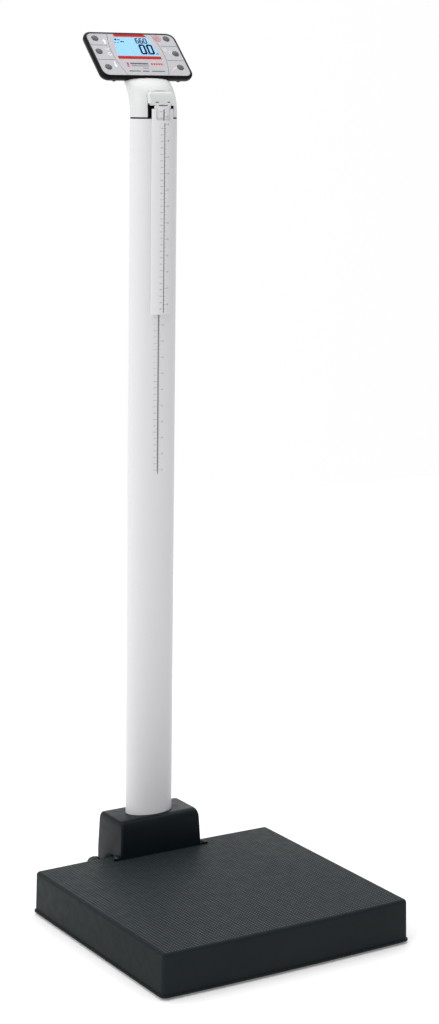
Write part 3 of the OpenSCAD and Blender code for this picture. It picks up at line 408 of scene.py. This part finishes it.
def ruler_shapes(middle, low, high, cm_at, line_w, line=True):
    """Centimetres on the left, inches on the right. cm_at gives the reading at a height."""
    shapes = [bar(middle - line_w / 2, middle + line_w / 2, low, high)] if line else []
    numbers = []
    left, right = middle - line_w / 2, middle + line_w / 2
    first, last = sorted((cm_at(low), cm_at(high)))

    def height_of(cm):
        return low + (cm - cm_at(low)) / (cm_at(high) - cm_at(low)) * (high - low)

    def numbered(z):
        return low + NUMBER_CLEAR < z < high - NUMBER_CLEAR

    for half in range(math.ceil(first * 2), math.floor(last * 2) + 1):
        z = height_of(half / 2)
        whole = half % 2 == 0
        reach = (2.6 if whole else 1.7) * MM
        shapes.append(bar(left - reach, left, z - TICK_HALF, z + TICK_HALF))
        if whole and numbered(z):
            numbers += digits(str(half // 2), 2.6 * MM, left - 3.1 * MM, z, "RIGHT")
    for quarter in range(math.ceil(first / INCH_CM * 4), math.floor(last / INCH_CM * 4) + 1):
        z = height_of(quarter / 4 * INCH_CM)
        reach = {0: 4.0, 2: 2.8}.get(quarter % 4, 1.9) * MM
        shapes.append(bar(right, right + reach, z - TICK_HALF, z + TICK_HALF))
        if quarter % 4 == 0 and numbered(z):
            numbers += digits(str(quarter // 4), 3.6 * MM, right + 4.6 * MM, z)
    return shapes, numbers


def print_rulers(materials):
    resting = (inner_high.z - platform_high.z) * 100
    window_low = rod_high.z - ROD_WINDOW_H

    def column_cm(z):
        return resting - (rod_low.z - z) * 100

    def strip_cm(z):
        return resting + (column_high.z - z) * 100

    def inner_cm(z):
        return resting + ROD_TRAVEL_CM + (rod_high.z - z) * 100

    def put(name, shapes, place, ink, body):
        print_on(name, shapes, place, materials[ink], body)

    shapes, numbers = ruler_shapes(0.4 * MM, rod_low.z + STRIP_CLEAR_LOW, window_low - STRIP_CLEAR_HIGH,
                                   strip_cm, 1.0 * MM)
    put("strip_ruler", shapes, on_rod(ROD_R), "ink_black", "rod_outer")
    put("strip_numbers", numbers, on_rod(ROD_R), "ink_grey", "rod_outer")

    # part of this ruler is behind the rod, and shows when the rod is raised
    low = COLUMN_RULER_LOW
    shapes, numbers = ruler_shapes(-2.8 * MM, low, rod_low.z + COLUMN_RULER_RISE, column_cm, 2.6 * MM,
                                   line=False)
    visible = [s for s in shapes if s[0][1] < column_high.z - 30 * MM]
    put("column_ruler", visible, on_column, "ink_pale", "base")
    put("column_numbers", numbers, on_column, "ink_pale", "base")
    edges = [bar(u * MM, (u + 0.4) * MM, low, column_high.z - 2 * MM) for u in (-4.0, -2.0)]
    put("column_ruler_line", edges, on_column, "ink_grey", "base")

    shapes, numbers = ruler_shapes(0.4 * MM, window_low - ROD_TRAVEL_CM / 100, rod_high.z - 0.5 * MM,
                                   inner_cm, 1.6 * MM)
    put("inner_ruler", shapes, on_rod(INNER_R), "ink_black", "rod_inner")
    put("inner_numbers", numbers, on_rod(INNER_R), "ink_grey", "rod_inner")


# ---- the indicator's face ----

def seven_segment(lit, u, v, width, height, thick):
    """One numeral of a liquid-crystal display, slightly slanted."""
    half = height / 2
    overrun, tip, slant = thick * 0.22, thick * 0.4, 0.06
    lines = {
        "a": ((0, height), (width, height)), "b": ((width, height), (width, half)),
        "c": ((width, half), (width, 0)), "d": ((0, 0), (width, 0)), "e": ((0, half), (0, 0)),
        "f": ((0, height), (0, half)), "g": ((0, half), (width, half)),
    }
    shapes = []
    for name in lit:
        (u0, v0), (u1, v1) = lines[name]
        run = math.hypot(u1 - u0, v1 - v0)
        du, dv = (u1 - u0) / run, (v1 - v0) / run
        nu, nv = -dv * thick / 2, du * thick / 2
        a, b = -overrun, run + overrun
        corners = [(a, 0), (a + tip, 1), (b - tip, 1), (b, 0), (b - tip, -1), (a + tip, -1)]
        shapes.append([(u + u0 + du * s + nu * k + slant * (v0 + dv * s + nv * k),
                        v + v0 + dv * s + nv * k) for s, k in corners])
    return shapes


ZERO, SIX = "abcdef", "acdefg"


def in_metres(shapes):
    return [[(u * MM, v * MM) for u, v in shape] for shape in shapes]


def print_face(materials):
    """Sizes here are in millimetres from the face's middle."""
    def put(name, shapes, ink, slot="overlay_film"):
        print_on(name, in_metres(shapes), on_face, materials[ink], "base")

    put("band_top", [[(-30, 39.8), (30, 39.8), (25.5, 45.6), (-28.5, 45.6)]], "ink_red")
    put("band_low", [[(-39.5, -9.8), (38.8, -9.8), (38.2, -3.4), (-39, -3.4)]], "ink_red")
    lines = []
    for side in (-1, 1):
        curve = [(side * (36 + 12 * math.sin(math.radians(18 + 144 * i / 16)) - 3 * (1 - i / 16)),
                  -45 + 90 * i / 16) for i in range(17)]
        lines += stroke(curve, 0.7)
        for v in (20, -12):
            lines += stroke([(side * 48, v), (side * 77, v)], 0.9)
    put("divider_lines", lines, "ink_grey")
    small, large = (4.6, 10.0, 2.0), (8.0, 19.0, 3.6)
    marks = []
    for shape, u in ((SIX, 6.5), (SIX, 13.7), (ZERO, 20.9)):
        marks += seven_segment(shape, u, 26.0, *small)
    for u in (8.0, 21.5):
        marks += seven_segment(ZERO, u, 2.6, *large)
    marks += [bar(18.0, 20.0, 1.0, 3.2), bar(32.5, 33.8, 1.0, 3.0), bar(35.0, 36.8, 1.0, 4.8)]
    marks += [bar(-31, -27.5, 31.6, 35.0), bar(-26.6, -21.5, 31.6, 33.4)]
    marks += [bar(-33, -31, 25.4, 27), bar(-28.6, -26, 25.4, 27), bar(-22, -15.5, 27.4, 29.6)]
    put("display_marks", marks, "ink_navy", slot="display_clear")
    power = round_line(48, 37, 6.4, 0, 360, 0.8, 28) + round_line(48, 37, 4.0, 120, 420, 1.0) \
        + round_line(48, 37, 1.9, 0, 360, 0.8, 14) + [bar(47.5, 48.5, 37, 42.4)]
    put("power_mark", power, "ink_rose")
    white = [[(-54, 28.5), (-47, 28.5), (-50.5, 34)], bar(-52.2, -48.8, 22.6, 28.5),
             [(-53.5, -23.5), (-47.5, -23.5), (-50.5, -29.5)], bar(-51.6, -49.4, -23.5, -16)]
    white += round_line(-51, 0.5, 2.9, 60, 380, 1.5) + stroke([(-56, 12), (-52.5, 10), (-48, 13.5)], 1.2)
    white += round_line(53, 12, 2.4, 20, 340, 1.0) + round_line(60.5, 6.5, 2.4, 200, 520, 1.0)
    white += stroke([(50, -32), (54, -27.5), (54, -30), (59, -25.5)], 1.0)
    put("key_marks", white, "ink_white")
    put("plate_mark", [bar(-29.5, -26, -24, -17.5), bar(-30.5, -27, -27.5, -25.2)]
        + [bar(14 + 4.4 * i, 17.2 + 4.4 * i, -22.5, -18.5) for i in range(5)], "ink_rose")
    captions = [bar(-23, 9, -21.6, -18.2), bar(-22, 9, -25.6, -24.2), bar(-4, 6, -30.4, -29.2)]
    captions += [bar(u, u + w, -37.5, -35.3) for u, w in ((-31, 20), (-7, 12), (9, 24))]
    put("caption_bars", captions, "ink_grey")


# ---- floor and light ----

def make_stage():
    mesh = bpy.data.meshes.new("floor")
    reach = 3.0
    corners = [(-reach, -reach, 0), (reach, -reach, 0), (reach, reach, 0), (-reach, reach, 0)]
    mesh.from_pydata(corners, [], [(0, 1, 2, 3)])
    floor = bpy.data.objects.new("floor", mesh)
    bpy.context.collection.objects.link(floor)
    mesh.materials.append(finish_material("floor", (0.93, 0.93, 0.93), 0.9, mottle=0.0,
                                          grain_depth=0.0, glow=0.14, specular=0.0))

    world = bpy.data.worlds.new("studio")
    bpy.context.scene.world = world
    world.use_nodes = True
    tree = world.node_tree
    place = tree.nodes.new("ShaderNodeTexCoord")
    dot = tree.nodes.new("ShaderNodeVectorMath")
    dot.operation = "DOT_PRODUCT"
    dot.inputs[1].default_value = (0.62, -0.78, 0.0)
    tree.links.new(place.outputs["Generated"], dot.inputs[0])
    fade = tree.nodes.new("ShaderNodeMapRange")
    fade.interpolation_type = "SMOOTHSTEP"
    fade.inputs["From Min"].default_value = -0.35
    fade.inputs["From Max"].default_value = 0.75
    fade.inputs["To Min"].default_value = 1.0
    fade.inputs["To Max"].default_value = 0.60
    tree.links.new(dot.outputs["Value"], fade.inputs["Value"])
    back = tree.nodes["Background"]
    back.inputs["Color"].default_value = (1.0, 1.0, 1.0, 1)
    tree.links.new(fade.outputs["Result"], back.inputs["Strength"])

    def area(name, place, size, power):
        data = bpy.data.lights.new(name, "AREA")
        data.size = size
        data.energy = power
        light = bpy.data.objects.new(name, data)
        light.location = place
        light.rotation_mode = "QUATERNION"
        light.rotation_quaternion = (Vector((0, 0, 0.7)) - Vector(place)).to_track_quat("-Z", "Y")
        bpy.context.collection.objects.link(light)

    area("key_left", (-3.2, -1.2, 2.6), 2.0, 34)
    area("top", (0.3, 0.6, 4.0), 3.0, 50)


make_camera()
looks = make_materials()
dress(looks)
print_rulers(looks)
print_face(looks)
make_stage()
bpy.context.scene.view_settings.view_transform = "Standard"
